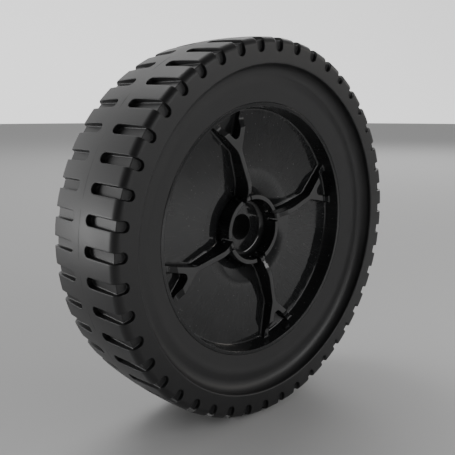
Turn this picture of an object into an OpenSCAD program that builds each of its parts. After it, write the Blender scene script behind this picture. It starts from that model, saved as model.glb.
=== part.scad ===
// Drive wheel of a walk-behind lawn mower: a moulded plastic wheel body with
// an internal gear on its hidden side, and a rubber tyre stretched over it.
// Millimetres. The wheel is drawn flat, its outer face towards +Z, and each
// piece is then stood up so that the wheel turns about Y with that face to -Y.

/* [Tyre] */
// Diameter over the tread
tyre_d = 203; // [170:1:245]
// Width over the two sidewalls
tyre_w = 54; // [46:1:66]
// How much lower the tread is at its shoulders than in the middle
crown_drop = 1; // [0.5:0.1:2]
// Rounding of the shoulder
shoulder_r = 4; // [3:0.1:5]
// Radial width of the flat band beside the shoulder
band_w = 9.2; // [8:0.1:12]
// Radius of the hollow beside the flat band
cove_r = 6.3; // [4:0.1:7]
// How far the bottom of that hollow lies behind the flat band
cove_depth = 7.1; // [6:0.1:8]
// Radial width of the shelf at the foot of the hollow
shelf_w = 3.2; // [2:0.1:5]
// Radial width of the dip below the shelf
dip_w = 2.6; // [1:0.1:4]
// Depth of that dip
dip_deep = 0.9; // [0.4:0.1:1.2]
// How much the shelf falls towards that dip
shelf_fall = 0.2; // [0:0.1:0.5]
// Width of the air channel inside the tyre
channel_w = 19; // [12:0.5:20]
// Rubber left under the tread above the air channel
channel_roof = 12; // [8:0.5:16]

/* [Tread grooves] */
// Number of grooves round each shoulder
groove_n = 45; // [30:1:50]
// Width of a groove
groove_w = 5; // [3.5:0.1:6]
// Depth of a groove in the tread
groove_deep = 3; // [1.5:0.1:4]
// Depth of a groove in the sidewall
pocket_deep = 2.2; // [1:0.1:3]
// Plain tread left between the two rows of grooves
tread_plain_w = 10.4; // [6:0.2:20]
// Distance from the tread to the inner end of a groove in the sidewall
pocket_h = 8.3; // [6.5:0.1:9]
// Turn of the first groove from the level radius that points right
groove_turn = 1.9; // [0:0.1:7.9]

/* [Rim] */
// Radius of the seat that the tyre stands on
seat_r = 68.7; // [64:0.1:72]
// Wall of the barrel at its lips
lip_w = 2.1; // [1.6:0.1:3]
// How far the lips lie behind the tyre's flat bands
lip_inset = 9.8; // [8:0.1:12]
// Narrowing of the barrel from its lip to the disc
barrel_draft = 1.1; // [0.4:0.1:1.6]
// Narrowing of the barrel from its rear lip to the disc
rear_draft = 0.2; // [0:0.1:1]
// Thickness of the disc
disc_t = 2.6; // [2:0.1:4]
// Distance from the front lip plane back to the disc at the barrel
disc_outer_depth = 9; // [7:0.1:11]
// How much further back the disc lies at the hub
disc_dish = 6.1; // [5:0.1:8]
// Slope of the flat outer part of the disc
disc_slope = 2.5; // [0:0.1:4]
// Radius inside which the disc rounds down to the hub
dome_r = 34; // [28:0.5:40]
// Height of the locking rib that stands in the tyre's air channel
key_h = 3; // [2:0.1:5]

/* [Ribs] */
// Number of forked ribs on the outer face
rib_n = 4; // [3:1:5]
// Thickness of a rib's spine
rib_t = 2.9; // [2:0.1:3.6]
// Thickness of a prong
prong_t = 3.4; // [2:0.1:4]
// Sideways offset of a rib where it leaves the ring
rib_offset = 6.1; // [4:0.1:8]
// Radius at which a rib forks
fork_r = 46.8; // [42:0.2:50]
// Sideways lean of the fork from the rib's root
fork_lean = 8; // [4:0.1:10]
// Direction of the prong on the straight side
prong_a_dir = 11; // [4:1:14]
// Direction of the prong on the leaning side
prong_b_dir = 50; // [42:1:58]
// Rounding of the crotch between the prongs
crotch_r = 2.7; // [1:0.1:4]
// Rounding of the bends on both sides of the fork
bend_r = 8; // [3:0.5:10]
// Height of the rib tops above the ring's top where they leave it
root_rise = 1.2; // [0:0.1:2]
// Radius of the crest that the rib tops round up to
crest_r = 29.5; // [26:0.5:38]
// Height of that crest above the ring's top
crest_rise = 4.7; // [3:0.1:6]
// Height of the rib tops at the prongs below the lip plane
prong_inset = 3.6; // [2:0.1:5]
// Radius at which the full height of the prongs ends
prong_end_r = 57.2; // [54:0.1:59]
// Length of the ramp beyond the prongs
ramp_l = 3.8; // [2:0.1:6]
// Drop of the ramp
ramp_drop = 2.4; // [1:0.1:4]

/* [Hub] */
// Diameter of the axle bore
bore_d = 14; // [10:0.1:16]
// Diameter of the recess for the axle nut and its cap
recess_d = 33.7; // [28:0.1:36]
// Wall of the ring round the recess
ring_t = 2.5; // [2:0.1:3.5]
// Depth of the recess
recess_deep = 10.8; // [8:0.1:13]
// Hollow rounding at the recess floor
recess_fillet = 3; // [1:0.1:4]
// Width of the slots beside each rib
slot_w = 1.9; // [1:0.1:2.5]
// Depth of the slots
slot_deep = 6.5; // [4:0.1:8]
// Distance of the recess floor from the middle plane, towards the front
floor_z = 0; // [-2:0.1:2]
// Thickness of the recess floor
floor_t = 3; // [2:0.1:4]
// Outer diameter of the bearing boss on the hidden side
boss_d = 24; // [20:0.5:26]
// Distance of the boss's end from the middle plane
boss_reach = 25; // [18:0.5:26.5]

/* [Drive gear] */
// Number of internal teeth
teeth_n = 32; // [28:1:34]
// Gear module, the pitch diameter divided by the number of teeth
gear_m = 2; // [1.9:0.05:2.1]
// Pressure angle of the teeth
pressure_angle = 20; // [14.5:0.5:25]
// Wall outside the roots of the teeth
gear_wall = 3; // [2:0.1:4]
// Distance of the gear's end face from the middle plane
gear_reach = 17; // [12:0.5:22]
// Number of webs between the gear and the barrel
web_n = 8; // [4:1:10]
// Thickness of a web
web_t = 2.2; // [1.6:0.1:3]
// Distance of the webs' edges behind the gear's end face
web_inset = 1; // [0:0.5:4]

/* [Hidden] */
$fn = 144;
eps = 0.01;
// clearance between the locking rib and the sides of the air channel
key_gap = 0.2;
// rounding of the edges of the flat bands and of the lips
edge_r = 0.8;
// how far a cutter stands out of what it cuts
over = 2;

tyre_r = tyre_d / 2;
half_w = tyre_w / 2;
shoulder_top = tyre_r - crown_drop;
band_out = shoulder_top - shoulder_r;
band_in = band_out - band_w;
// circle that gives the tread its crown, through the middle and both shoulders
crown_h = half_w - shoulder_r;
crown_r = (crown_h * crown_h + crown_drop * crown_drop) / (2 * crown_drop);

lip_z = half_w - lip_inset;
barrel_in = seat_r - lip_w;
barrel_neck = barrel_in - barrel_draft;
disc_outer_z = lip_z - disc_outer_depth;
ring_in = recess_d / 2;
ring_out = ring_in + ring_t;
ring_z = floor_z + recess_deep;
disc_inner_z = disc_outer_z - disc_dish;
prong_z = lip_z - prong_inset;
stub_z = prong_z - ramp_drop;

gear_pitch_r = gear_m * teeth_n / 2;
gear_base_r = gear_pitch_r * cos(pressure_angle);
// an internal tooth's tip keeps off the base circle, where its involute starts
base_gap = 0.2;
gear_tip_r = max(gear_pitch_r - gear_m, gear_base_r + base_gap);
gear_root_r = gear_pitch_r + 1.25 * gear_m;
gear_out_r = gear_root_r + gear_wall;

// the disc's round centre: an arc that runs on from the flat part at dome_r and
// ends where the disc meets the ring
dome_start = [dome_r, disc_outer_z - (barrel_neck - dome_r) * tan(disc_slope)];
dome_span = [ring_out, disc_inner_z] - dome_start;
dome_down = [sin(disc_slope), -cos(disc_slope)];
dome_arc_r = (dome_span * dome_span) / (2 * dome_span * dome_down);
dome_centre = dome_start + dome_arc_r * dome_down;

// height of the disc's front face at radius r
function disc_z(r) = r > dome_r
  ? disc_outer_z - (barrel_neck - r) * tan(disc_slope)
  : dome_centre[1] + sqrt(dome_arc_r * dome_arc_r - pow(r - dome_centre[0], 2));

// line that lies a distance behind the disc's front face, from radius r outwards
function disc_line(r, behind, steps = 9) = concat(
  [for (i = [0 : steps]) let (at = r + (dome_r - r) * i / steps) [at, disc_z(at) - behind]],
  [[barrel_neck, disc_outer_z - behind]]);

// the same points from last to first
function backwards(points) = [for (i = [len(points) - 1 : -1 : 0]) points[i]];

// stands a wheel drawn flat up on its tread, outer face to -Y
module stand() rotate([90, 0, 0]) children();

// copies its children n times round Z, the first one turned by start
module around(n, start = 0) for (i = [0 : n - 1]) rotate([0, 0, start + i * 360 / n]) children();

// section of the tyre's outer half, from the tread down to the seat
module tyre_half_section() {
  low_z = half_w - cove_depth;
  shelf_r = band_in - cove_r;
  dip_r = shelf_r - shelf_w;
  dip_z = low_z - shelf_fall;
  difference() {
    union() {
      // tread and shoulder
      intersection() {
        translate([tyre_r - crown_r, 0]) circle(r = crown_r, $fn = 360);
        translate([band_in, 0]) square([tyre_r, half_w - shoulder_r]);
      }
      translate([band_out, half_w - shoulder_r]) circle(r = shoulder_r);
      translate([shelf_r, 0]) square([band_out - shelf_r, half_w]);
      // lower sidewall: a shelf, a dip, and a slope to the rim's lip
      polygon([[seat_r, 0], [band_in, 0], [band_in, low_z], [shelf_r, low_z], [dip_r, dip_z],
               [dip_r - dip_w, dip_z - dip_deep], [seat_r, lip_z]]);
    }
    // hollow, and the rounded inner edge of the flat band above it
    translate([shelf_r, low_z + cove_r]) circle(r = cove_r);
    translate([shelf_r - over, low_z + cove_r]) square([over + cove_r, cove_r]);
    translate([shelf_r - over, low_z]) square([over, cove_r]);
    translate([band_in - over, half_w - edge_r]) difference() {
      square([over + edge_r, edge_r + over]);
      translate([over + edge_r, 0]) circle(r = edge_r);
    }
  }
}

// one groove: a slot across the shoulder that turns down into the sidewall
module groove() {
  slot_end = tread_plain_w / 2 + groove_w / 2;
  pocket_end = tyre_r - pocket_h + groove_w / 2;
  floor_r = tyre_r - groove_deep;
  translate([floor_r, 0, 0]) rotate([0, 90, 0]) linear_extrude(groove_deep + over) {
    translate([-slot_end, 0]) circle(d = groove_w, $fn = 48);
    translate([-half_w - over, -groove_w / 2]) square([half_w + over - slot_end, groove_w]);
  }
  translate([0, 0, half_w - pocket_deep]) linear_extrude(pocket_deep + over) {
    translate([pocket_end, 0]) circle(d = groove_w, $fn = 48);
    translate([pocket_end, -groove_w / 2]) square([tyre_r + over - pocket_end, groove_w]);
  }
}

// rubber tyre: solid shoulders round a middle air channel that opens to the rim
module tyre() color([0.16, 0.16, 0.17]) stand() {
  difference() {
    rotate_extrude($fn = 180) difference() {
      union() {
        tyre_half_section();
        mirror([0, 1]) tyre_half_section();
      }
      translate([seat_r - eps, -channel_w / 2])
        square([tyre_r - channel_roof - seat_r - channel_w / 4, channel_w]);
      translate([tyre_r - channel_roof - channel_w / 4, 0]) scale([0.5, 1]) circle(d = channel_w);
    }
    around(groove_n, groove_turn) {
      groove();
      mirror([0, 0, 1]) groove();
    }
  }
}

// barrel, lips, disc and locking rib in one revolved section
module body_section() {
  ring_mid = ring_out - ring_t / 2;
  polygon(concat(
    disc_line(ring_mid, 0),
    [[barrel_in, lip_z], [seat_r, lip_z], [seat_r, -lip_z], [barrel_in, -lip_z],
     [barrel_in - rear_draft, disc_outer_z - disc_t]],
    backwards(disc_line(ring_mid, disc_t))
  ));
  translate([seat_r - eps, -channel_w / 2 + key_gap]) square([key_h + eps, channel_w - 2 * key_gap]);
}

// hub section: ring, recess floor with its hollow rounding, and bearing boss
module hub_section() {
  difference() {
    union() {
      translate([0, floor_z - floor_t]) square([ring_out, recess_deep + floor_t]);
      translate([0, -boss_reach]) square([boss_d / 2, boss_reach + floor_z]);
    }
    translate([0, floor_z]) square([ring_in - recess_fillet, recess_deep + over]);
    translate([0, floor_z + recess_fillet]) square([ring_in, recess_deep + over]);
    translate([ring_in - recess_fillet, floor_z + recess_fillet]) circle(r = recess_fillet, $fn = 48);
    translate([0, -boss_reach - over]) square([bore_d / 2, boss_reach + floor_z + 2 * over]);
  }
}

// space in which the ribs stay: its top rounds up from the ring to a crest, falls
// to the prongs, and steps down by a ramp before the barrel
module rib_top_section() {
  start_r = ring_in + ring_t / 4;
  run = crest_r - ring_out;
  rise = crest_rise - root_rise;
  round_r = (run * run + rise * rise) / (2 * rise);
  steps = 6;
  polygon(concat(
    [[start_r, ring_z + root_rise]],
    [for (i = [0 : steps]) let (back = run * (1 - i / steps))
      [crest_r - back, ring_z + crest_rise - round_r + sqrt(round_r * round_r - back * back)]],
    [[fork_r, prong_z], [prong_end_r, prong_z], [prong_end_r + ramp_l, stub_z], [barrel_in, stub_z],
     [barrel_neck + lip_w / 2, disc_outer_z - disc_t / 2]],
    backwards(disc_line(start_r, disc_t / 2))
  ));
}

// unit vector along a direction leaning d degrees to the left of +Y
function along(d) = [-sin(d), cos(d)];

// unit vector to the right of that direction
function right_of(d) = [cos(d), sin(d)];

// where a line through p leaning a meets a line through q leaning b
function meet(p, a, q, b) = p + along(a) * cross(q - p, along(b)) / cross(along(a), along(b));

// arc of radius r about c, from the direction right of lean a to that of lean b
function arc(c, r, a, b, steps = 6) = [for (i = [0 : steps]) c + r * right_of(a + (b - a) * i / steps)];

root = [-rib_offset, sqrt(ring_out * ring_out - rib_offset * rib_offset)];
knot = [-rib_offset - fork_lean, sqrt(fork_r * fork_r - pow(rib_offset + fork_lean, 2))];
rib_lean = atan2(root[0] - knot[0], knot[1] - root[1]);

// outline of one forked rib, pointing along +Y
module rib_outline() {
  half_t = rib_t / 2;
  half_p = prong_t / 2;
  foot = root - ring_t * 2 * along(rib_lean);
  pa = -prong_a_dir;
  pb = prong_b_dir;
  end_a = knot + barrel_in * along(pa);
  end_b = knot + barrel_in * along(pb);
  right_bend = meet(knot + (half_t + bend_r) * right_of(rib_lean), rib_lean,
                    knot + (half_p + bend_r) * right_of(pa), pa);
  crotch = meet(knot - (half_p + crotch_r) * right_of(pa), pa,
                knot + (half_p + crotch_r) * right_of(pb), pb);
  left_bend = meet(knot - (half_t + bend_r) * right_of(rib_lean), rib_lean,
                   knot - (half_p + bend_r) * right_of(pb), pb);
  polygon(concat(
    [foot + half_t * right_of(rib_lean)],
    arc(right_bend, -bend_r, rib_lean, pa),
    [end_a + half_p * right_of(pa), end_a - half_p * right_of(pa)],
    arc(crotch, crotch_r, pa, pb - 180),
    [end_b + half_p * right_of(pb), end_b - half_p * right_of(pb)],
    arc(left_bend, bend_r, pb, rib_lean),
    [foot - half_t * right_of(rib_lean)]
  ));
}

// forked ribs of the outer face, cut to their stepped top
module ribs() {
  intersection() {
    rotate_extrude() rib_top_section();
    around(rib_n) linear_extrude(lip_z) rib_outline();
  }
}

// slots that free each rib's end from the ring round the recess
module ring_slots() {
  around(rib_n) translate([root[0], root[1], ring_z - slot_deep]) rotate([0, 0, rib_lean])
    for (side = [-1, 1])
      translate([side * (rib_t + slot_w) / 2 - slot_w / 2, -ring_t - over, 0])
        cube([slot_w, ring_t + 2 * over, slot_deep + over]);
}

// involute function of an angle in degrees, result in degrees
function inv(a) = tan(a) * 180 / PI - a;

// half the angle of the space between two internal teeth at radius r
function half_space(r) = 90 / teeth_n + inv(pressure_angle) - inv(acos(gear_base_r / r));

// space between two internal teeth, with involute flanks
module tooth_space() {
  steps = 5;
  radii = [for (i = [0 : steps]) gear_tip_r + (gear_root_r - gear_tip_r) * i / steps];
  right = [for (r = radii) r * [cos(half_space(r)), -sin(half_space(r))]];
  left = [for (i = [steps : -1 : 0]) radii[i] * [cos(half_space(radii[i])), sin(half_space(radii[i]))]];
  mouth = gear_tip_r - gear_m / 2;
  mouth_a = half_space(gear_tip_r);
  polygon(concat([mouth * [cos(mouth_a), -sin(mouth_a)]], right, left,
                 [mouth * [cos(mouth_a), sin(mouth_a)]]));
}

// ring of internal teeth that the drive pinion runs in
module gear_ring() {
  top = disc_z(gear_tip_r) - disc_t / 2;
  translate([0, 0, -gear_reach]) linear_extrude(gear_reach + top) difference() {
    circle(r = gear_out_r);
    circle(r = gear_tip_r);
    around(teeth_n) tooth_space();
  }
}

// webs of the hidden side, from the gear to the barrel
module webs() {
  from = gear_out_r - gear_wall / 2;
  top = disc_z(gear_out_r) - disc_t / 3;
  around(web_n, 180 / web_n) translate([from, -web_t / 2, web_inset - gear_reach])
    cube([seat_r - lip_w / 2 - from, web_t, gear_reach - web_inset + top]);
}

// wheel body: lips, barrel, disc, ribs, hub, gear and webs in one moulding
module wheel_body() color([0.07, 0.07, 0.08]) stand() {
  difference() {
    union() {
      rotate_extrude($fn = 180) body_section();
      rotate_extrude() hub_section();
      ribs();
      gear_ring();
      webs();
    }
    ring_slots();
  }
}

wheel_body();
tyre();
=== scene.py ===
import math
import bpy
import bmesh
from mathutils import Matrix, Vector


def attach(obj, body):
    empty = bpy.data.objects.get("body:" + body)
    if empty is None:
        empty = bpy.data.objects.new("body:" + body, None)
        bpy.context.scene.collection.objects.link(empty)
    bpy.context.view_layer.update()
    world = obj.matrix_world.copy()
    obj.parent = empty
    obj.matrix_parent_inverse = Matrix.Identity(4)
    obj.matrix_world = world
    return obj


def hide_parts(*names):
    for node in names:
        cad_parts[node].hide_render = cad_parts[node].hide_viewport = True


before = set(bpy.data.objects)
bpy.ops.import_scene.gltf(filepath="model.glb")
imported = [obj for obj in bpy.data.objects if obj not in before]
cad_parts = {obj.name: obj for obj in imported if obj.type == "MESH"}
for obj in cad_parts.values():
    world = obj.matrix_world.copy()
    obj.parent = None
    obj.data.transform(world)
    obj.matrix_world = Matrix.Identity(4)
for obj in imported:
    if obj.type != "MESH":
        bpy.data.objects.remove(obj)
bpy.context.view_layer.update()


# The camera stands ahead and to the left of the wheel, a little above its hub.
# It looks past the hub to the right, as the photograph was taken.
camera = bpy.data.objects.new("camera", bpy.data.cameras.new("camera"))
bpy.context.collection.objects.link(camera)
camera.location = (-0.2284, -0.2342, 0.0664)
camera.rotation_euler = Vector((0.6677, 0.7170, -0.2001)).to_track_quat("-Z", "Y").to_euler()
camera.data.sensor_width = 36
camera.data.lens = 46.94
camera.data.clip_start = 0.01
bpy.context.scene.camera = camera


# Floor: plain pale studio floor that the tread stands on.
# It is only there to be stood on, and isn't part of the wheel.
def linked_object(name, bm):
    mesh = bpy.data.meshes.new(name)
    bm.to_mesh(mesh)
    bm.free()
    piece = bpy.data.objects.new(name, mesh)
    bpy.context.collection.objects.link(piece)
    return piece


bm = bmesh.new()
bmesh.ops.create_circle(bm, cap_ends=True, segments=96, radius=6)
floor = linked_object("floor", bm)
floor.location = (0, 0, -0.1015)
floor_paint = bpy.data.materials.new("floor_paint")
floor_paint.use_nodes = True
shader = floor_paint.node_tree.nodes["Principled BSDF"]
shader.inputs["Base Color"].default_value = (0.55, 0.55, 0.55, 1)
shader.inputs["Roughness"].default_value = 0.9
shader.inputs["Specular IOR Level"].default_value = 0.1
floor.data.materials.append(floor_paint)


# Studio light: a pale tent that is bright low down behind the wheel and dim on
# the camera's side and overhead, so that black gloss shows its edges. Soft boxes
# lift the floor round the wheel, and one small warm box puts a glint on the hub.
world = bpy.data.worlds.new("tent")
bpy.context.scene.world = world
world.use_nodes = True
tree = world.node_tree
tent = tree.nodes["Background"]
tent.inputs["Color"].default_value = (1, 1, 1, 1)
direction = tree.nodes.new("ShaderNodeTexCoord")
towards_back = tree.nodes.new("ShaderNodeVectorMath")
towards_back.operation = "DOT_PRODUCT"
towards_back.inputs[1].default_value = (0.3, 0.92, -0.7)
tree.links.new(direction.outputs["Generated"], towards_back.inputs[0])
glow = tree.nodes.new("ShaderNodeMapRange")
glow.inputs["From Min"].default_value = -0.75
glow.inputs["From Max"].default_value = 0.9
glow.inputs["To Min"].default_value = 0.1
glow.inputs["To Max"].default_value = 1.6
tree.links.new(towards_back.outputs["Value"], glow.inputs["Value"])
tree.links.new(glow.outputs["Result"], tent.inputs["Strength"])
# name, place, point it faces, width and height in metres, watts, colour
boxes = [
    ("box_behind", (1.5, 0.8, 1.0), (0.8, 0.1, -0.1), (1.0, 0.8), 9, (1, 1, 1)),
    ("box_above", (0.0, 1.3, 1.9), (-0.45, 0.4, -0.1), (1.0, 0.8), 8, (1, 1, 1)),
    ("box_left", (-0.68, 0.62, -0.04), (-0.1, 0, 0), (0.3, 0.16), 2.0, (1, 1, 1)),
    ("box_ahead", (0.12, -0.62, 0.2), (0.1, -0.6, -0.1), (0.6, 0.3), 2.6, (1, 1, 1)),
    ("box_right", (1.2, -0.55, 0.42), (0, 0, 0), (0.22, 0.22), 0.9, (1, 0.93, 0.84)),
]
for name, place, faces, (width, height), watts, tint in boxes:
    lamp = bpy.data.lights.new(name, "AREA")
    lamp.shape = "RECTANGLE"
    lamp.size = width
    lamp.size_y = height
    lamp.energy = watts
    lamp.color = tint
    box = bpy.data.objects.new(name, lamp)
    bpy.context.collection.objects.link(box)
    box.location = place
    box.rotation_euler = (Vector(faces) - Vector(place)).to_track_quat("-Z", "Y").to_euler()


# Wheel body: one glossy black injection moulding of lips, barrel, disc, ribs,
# hub and gear. The CAD mesh is merged, and the edges of its outer face are
# rounded: the free edges a little, the feet of the walls more.
mm = 0.001
free_edge = 0.3 * mm
wall_foot = 0.9 * mm
sharp_from = 25  # degrees that two faces turn against each other
bm = bmesh.new()
bm.from_mesh(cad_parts["wheel_body"].data)
bmesh.ops.remove_doubles(bm, verts=bm.verts, dist=0.002 * mm)
bmesh.ops.dissolve_limit(bm, angle_limit=math.radians(0.02), verts=bm.verts, edges=bm.edges,
                         use_dissolve_boundaries=False)
# depth of the disc's middle by radius, in millimetres: what lies ahead of it is the outer face;
# the step near 20 mm leaves out the foot of the hub ring, which is too narrow to be rounded
disc_middle = [(0, 1), (18, 1), (19, -2.6), (20.3, -2.6), (20.5, -1.3), (34, -5.5), (69, -6.9)]


def on_outer_face(v):
    r = math.hypot(v.co.x, v.co.z) / mm
    for (r0, y0), (r1, y1) in zip(disc_middle, disc_middle[1:]):
        if r0 <= r < r1:
            return v.co.y / mm < y0 + (y1 - y0) * (r - r0) / (r1 - r0)
    return False


def turn(edge):
    return math.degrees(edge.calc_face_angle())


weight = bm.edges.layers.float.new("bevel_weight_edge")
for edge in bm.edges:
    if turn(edge) > sharp_from:
        if all(on_outer_face(v) for v in edge.verts):
            edge[weight] = free_edge / wall_foot if edge.is_convex else 1
        else:
            edge.smooth = False
for face in bm.faces:
    face.smooth = True
moulded_body = linked_object("moulded_body", bm)
rounding = moulded_body.modifiers.new("rounded_edges", "BEVEL")
rounding.limit_method = "WEIGHT"
rounding.offset_type = "OFFSET"
rounding.width = wall_foot
rounding.segments = 2
rounding.use_clamp_overlap = False
rounding.loop_slide = True
shading = moulded_body.modifiers.new("flat_faces_stay_flat", "WEIGHTED_NORMAL")
shading.keep_sharp = True
shading.weight = 90


# the nodes of a material are made through these few words
def node(tree, kind, **settings):
    made = tree.nodes.new("ShaderNode" + kind)
    for name, value in settings.items():
        if name in made.inputs:
            made.inputs[name].default_value = value
        else:
            setattr(made, name, value)
    return made


def noise(tree, place, scale, detail, roughness=0.5):
    made = node(tree, "TexNoise", Scale=scale, Detail=detail, Roughness=roughness)
    tree.links.new(place, made.inputs["Vector"])
    return made.outputs["Fac"]


def spread(tree, value, low, high, from_low=0.0, from_high=1.0):
    made = node(tree, "MapRange")
    made.inputs["From Min"].default_value = from_low
    made.inputs["From Max"].default_value = from_high
    made.inputs["To Min"].default_value = low
    made.inputs["To Max"].default_value = high
    tree.links.new(value, made.inputs["Value"])
    return made.outputs["Result"]


def figure(tree, operation, a, b):
    made = node(tree, "Math", operation=operation)
    for socket, value in zip(made.inputs, (a, b)):
        if isinstance(value, (int, float)):
            socket.default_value = value
        else:
            tree.links.new(value, socket)
    return made.outputs[0]


def blend(tree, amount, a, b):
    made = node(tree, "MixRGB")
    tree.links.new(amount, made.inputs["Fac"])
    for socket, value in ((made.inputs[1], a), (made.inputs[2], b)):
        if isinstance(value, tuple):
            socket.default_value = value
        else:
            tree.links.new(value, socket)
    return made.outputs[0]


# its plastic: the gloss is a little uneven, faint lighter streaks run out from the hub as painted
# reflections, the tops of the ribs and the ring are rougher and painted lighter as a painted highlight,
# the bore is matt and painted near black as painted shade, and dust lies in specks
plastic = bpy.data.materials.new("glossy_black_plastic")
plastic.use_nodes = True
tree = plastic.node_tree
shader = tree.nodes["Principled BSDF"]
shader.inputs["IOR"].default_value = 1.5
place = node(tree, "TexCoord").outputs["Object"]
axes = node(tree, "SeparateXYZ")
tree.links.new(place, axes.inputs["Vector"])
across = figure(tree, "POWER", axes.outputs["X"], 2)
up = figure(tree, "POWER", axes.outputs["Z"], 2)
from_axis = figure(tree, "SQRT", figure(tree, "ADD", across, up), 0)
facing = node(tree, "SeparateXYZ")
tree.links.new(node(tree, "NewGeometry").outputs["Normal"], facing.inputs["Vector"])
# mask of the flat, front-facing tops of the ribs and the hub ring: they are made rougher, and painted
# lighter as a painted highlight
flat = spread(tree, facing.outputs["Y"], 1, 0, -0.99, -0.9)
high = spread(tree, axes.outputs["Y"], 1, 0, -10.7 * mm, -10.2 * mm)
inner = spread(tree, from_axis, 1, 0, 61.5 * mm, 62 * mm)
lit_rougher_tops = figure(tree, "MULTIPLY", figure(tree, "MULTIPLY", flat, high), inner)
clouds = noise(tree, place, 60, 5)
flow = noise(tree, place, 26, 3, 0.6)
# mask of the bore, which is made matt and painted near black as painted shade inside the hole
shaded_matt_bore = spread(tree, from_axis, 1, 0, 7.2 * mm, 7.6 * mm)
specks = spread(tree, noise(tree, place, 900, 1), 0, 1, 0.745, 0.77)
tone = blend(tree, clouds, (0.010, 0.0105, 0.0112, 1), (0.025, 0.0255, 0.0262, 1))
# painted highlight: the tops of the ribs and the ring are given a lighter colour
tone = blend(tree, lit_rougher_tops, tone, (0.05, 0.0505, 0.051, 1))
# painted reflection: lighter streaks running out from the hub are painted into the disc's colour
round_axis = figure(tree, "ARCTAN2", axes.outputs["Z"], axes.outputs["X"])
polar = node(tree, "CombineXYZ")
tree.links.new(figure(tree, "MULTIPLY", round_axis, 30), polar.inputs["X"])
tree.links.new(figure(tree, "MULTIPLY", from_axis, 40), polar.inputs["Y"])
painted_streaks = spread(tree, noise(tree, polar.outputs["Vector"], 2.2, 4), 0, 0.6, 0.55, 0.8)
tone = blend(tree, painted_streaks, tone, (0.045, 0.045, 0.045, 1))
# painted shade: the bore is coloured near black
tone = blend(tree, shaded_matt_bore, tone, (0.002, 0.002, 0.002, 1))
tree.links.new(blend(tree, specks, tone, (0.09, 0.09, 0.088, 1)), shader.inputs["Base Color"])
gloss = figure(tree, "ADD", spread(tree, clouds, 0.03, 0.09), spread(tree, flow, 0.0, 0.08, 0.4, 0.7))
gloss = figure(tree, "ADD", gloss, spread(tree, lit_rougher_tops, 0, 0.28))
gloss = figure(tree, "ADD", gloss, spread(tree, shaded_matt_bore, 0, 0.9))
gloss = figure(tree, "ADD", gloss, spread(tree, specks, 0, 0.4))
tree.links.new(gloss, shader.inputs["Roughness"])
ripple = node(tree, "Bump", Strength=0.06, Distance=0.0005)
tree.links.new(noise(tree, place, 110, 2), ripple.inputs["Height"])
tree.links.new(ripple.outputs["Normal"], shader.inputs["Normal"])
moulded_body.data.materials.append(plastic)
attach(moulded_body, "root")
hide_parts("wheel_body")


# Tyre: black rubber pressed in a two-part mould and stretched over the wheel body.
# It is spun from one groove's wedge: the section's corners are rounded, the grooves
# of both shoulders are cut out of the wedge, and their edges are broken.
groove_n = 45
groove_w = 5 * mm
groove_turn = math.radians(1.9)
groove_floor_r = 98.5 * mm
groove_end_y = 5.2 * mm
pocket_floor_y = 24.8 * mm
pocket_end_r = 93.2 * mm
tread_r = 101.5 * mm
half_w = 27 * mm
crown_r = 265 * mm
edge_break = 0.3 * mm
floor_fillet = 0.6 * mm
grooved_from_r = 92 * mm
groove_edge_turn = 50
sliver = 0.3 * mm
wedge_angle = math.radians(360 / groove_n)

# corners of one half of the section: radius, distance from the middle, rounding
corners = [
    (89.5, 9.5, 4.6), (68.7, 9.5, 0.3), (68.7, 17.2, 0.2), (75.2, 18.8, 1.2), (77.8, 19.7, 1.2),
    (81.0, 19.9, 0), (87.3, 19.9, 6.29), (87.3, 27.0, 0.8), (100.5, 27.0, 4.0),
]
outline = [(r, -y, rounding) for r, y, rounding in corners]
outline += [(r, y, rounding) for r, y, rounding in reversed(corners)]
bm = bmesh.new()
points = [bm.verts.new((r * mm, y * mm, 0)) for r, y, _ in outline]
for a, b in zip(points, points[1:] + points[:1]):
    bm.edges.new((a, b))
for point, (_, _, rounding) in zip(points, outline):
    if rounding:
        bmesh.ops.bevel(bm, geom=[point], offset=rounding * mm, offset_type="OFFSET", affect="VERTICES",
                        segments=max(3, round(rounding * 2)), profile=0.5, material=-1)
# the flat line of the tread, at a radius of 100.5 mm, is bowed out to its crown
flat_tread_r = 100.4 * mm
tread = [e for e in bm.edges if min(v.co.x for v in e.verts) > flat_tread_r and e.calc_length() > half_w]
bmesh.ops.subdivide_edges(bm, edges=tread, cuts=15)
for v in bm.verts:
    if v.co.x > flat_tread_r:
        v.co.x = tread_r - crown_r + math.sqrt(crown_r ** 2 - v.co.y ** 2)
bmesh.ops.rotate(bm, verts=bm.verts, cent=(0, 0, 0), matrix=Matrix.Rotation(wedge_angle / 2, 3, "Y"))
section = list(bm.edges)
spun = bmesh.ops.spin(bm, geom=list(bm.verts) + section, cent=(0, 0, 0), axis=(0, 1, 0),
                      angle=-wedge_angle, steps=8, use_merge=False, use_duplicate=False)
far_side = [g for g in spun["geom_last"] if isinstance(g, bmesh.types.BMEdge)]
for side in (section, far_side):
    bmesh.ops.contextual_create(bm, geom=side)
bmesh.ops.recalc_face_normals(bm, faces=bm.faces)
wedge = linked_object("wedge", bm)
beyond = 8 * mm  # how far the cutters stand out of the rubber


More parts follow.
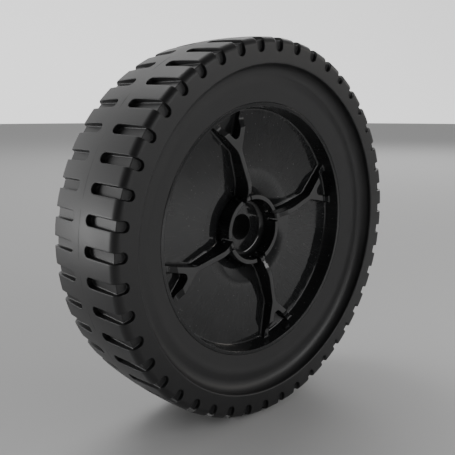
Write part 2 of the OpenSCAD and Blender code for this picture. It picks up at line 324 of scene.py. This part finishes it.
def groove_cutter(name, low, high, axis, end):
    """Cut the wedge with a box whose end is rounded; the end lies at that place along that axis."""
    bm = bmesh.new()
    bmesh.ops.create_cube(bm, size=1)
    bmesh.ops.scale(bm, vec=Vector(high) - Vector(low), verts=bm.verts)
    bmesh.ops.translate(bm, vec=(Vector(high) + Vector(low)) / 2, verts=bm.verts)
    ends = [e for e in bm.edges if all(abs(v.co[axis] - end) < 1e-6 for v in e.verts)
            and abs(e.verts[0].co.z - e.verts[1].co.z) < 1e-6]
    nearly_half = groove_w / 2 * 0.998  # the two roundings of an end don't quite meet
    bmesh.ops.bevel(bm, geom=ends, offset=nearly_half, offset_type="OFFSET", affect="EDGES",
                    segments=8, profile=0.5, material=-1)
    tool = linked_object(name, bm)
    cut = wedge.modifiers.new(name, "BOOLEAN")
    cut.operation = "DIFFERENCE"
    cut.solver = "EXACT"
    cut.object = tool
    return tool


tools = []
for side in (-1, 1):
    y0, y1 = sorted((side * groove_end_y, side * (half_w + beyond)))
    tools.append(groove_cutter("slot", (groove_floor_r, y0, -groove_w / 2),
                               (tread_r + beyond, y1, groove_w / 2), 1, side * groove_end_y))
    y0, y1 = sorted((side * pocket_floor_y, side * (half_w + beyond)))
    tools.append(groove_cutter("pocket", (pocket_end_r, y0, -groove_w / 2),
                               (tread_r + beyond, y1, groove_w / 2), 0, pocket_end_r))
bm = bmesh.new()
bm.from_mesh(wedge.evaluated_get(bpy.context.evaluated_depsgraph_get()).to_mesh())
for tool in tools + [wedge]:
    bpy.data.objects.remove(tool)

# the cuts leave points, edges and faces in no fixed order, and the merging and rounding
# below go by their order, so they are put in order of place
by_place = Vector((1, 0.618, 0.272))
bm.verts.sort(key=lambda v: v.co.dot(by_place))
bm.edges.sort(key=lambda e: (e.verts[0].co + e.verts[1].co).dot(by_place))
bm.faces.sort(key=lambda f: f.calc_center_bounds().dot(by_place))
ordered = bpy.data.meshes.new("ordered_wedge")
bm.to_mesh(ordered)
bm.clear()
bm.from_mesh(ordered)
bpy.data.meshes.remove(ordered)


def on_wedge_side(v):
    return abs(abs(math.atan2(v.co.z, v.co.x)) - wedge_angle / 2) < 1e-5


def in_grooved_part(v):
    return math.hypot(v.co.x, v.co.z) > grooved_from_r


# the wedge's two sides are opened, so that its copies can be joined there
sides = [f for f in bm.faces if all(on_wedge_side(v) for v in f.verts)]
bmesh.ops.delete(bm, geom=sides, context="FACES_ONLY")
bmesh.ops.delete(bm, geom=[e for e in bm.edges if not e.link_faces], context="EDGES")
# slivers left by the cuts would stop the roundings short, so they are merged first
bmesh.ops.remove_doubles(bm, verts=[v for v in bm.verts if in_grooved_part(v)], dist=sliver)
for hollow, width in ((True, floor_fillet), (False, edge_break)):
    sharp = [e for e in bm.edges if len(e.link_faces) == 2 and turn(e) > groove_edge_turn
             and e.is_convex != hollow and all(in_grooved_part(v) for v in e.verts)]
    bmesh.ops.bevel(bm, geom=sharp, offset=width, offset_type="OFFSET", affect="EDGES",
                    segments=2, profile=0.5, material=-1)
bmesh.ops.spin(bm, geom=list(bm.verts) + list(bm.edges) + list(bm.faces), cent=(0, 0, 0), axis=(0, 1, 0),
               angle=2 * math.pi - wedge_angle, steps=groove_n - 1, use_duplicate=True)
bmesh.ops.remove_doubles(bm, verts=bm.verts, dist=0.005 * mm)
bmesh.ops.rotate(bm, verts=bm.verts, cent=(0, 0, 0), matrix=Matrix.Rotation(-groove_turn, 3, "Y"))
for face in bm.faces:
    face.smooth = True
rubber_tyre = linked_object("rubber_tyre", bm)
shading = rubber_tyre.modifiers.new("flat_faces_stay_flat", "WEIGHTED_NORMAL")
shading.weight = 80

# its rubber: dull black with paler bloom, a fine grain from the mould, and a
# thin broken parting line round the middle of the tread
rubber = bpy.data.materials.new("moulded_rubber")
rubber.use_nodes = True
tree = rubber.node_tree
shader = tree.nodes["Principled BSDF"]
shader.inputs["IOR"].default_value = 1.55
place = node(tree, "TexCoord").outputs["Object"]
axes = node(tree, "SeparateXYZ")
tree.links.new(place, axes.inputs["Vector"])
bloom = noise(tree, place, 45, 6, 0.6)
tone = blend(tree, bloom, (0.007, 0.007, 0.0075, 1), (0.016, 0.016, 0.017, 1))
off_middle = figure(tree, "ABSOLUTE", axes.outputs["Y"], 0)
line = spread(tree, off_middle, 1, 0, 0.1 * mm, 0.35 * mm)
broken = spread(tree, noise(tree, place, 70, 3), 0, 0.8, 0.45, 0.6)
line = figure(tree, "MULTIPLY", line, broken)
tree.links.new(blend(tree, line, tone, (0.001, 0.001, 0.001, 1)), shader.inputs["Base Color"])
sheen = figure(tree, "ADD", spread(tree, bloom, 0.4, 0.52), spread(tree, line, 0, 0.4))
tree.links.new(sheen, shader.inputs["Roughness"])
grain = node(tree, "Bump", Strength=0.12, Distance=0.0002)
tree.links.new(noise(tree, place, 1400, 3), grain.inputs["Height"])
tree.links.new(grain.outputs["Normal"], shader.inputs["Normal"])
rubber_tyre.data.materials.append(rubber)
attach(rubber_tyre, "root")
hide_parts("tyre")
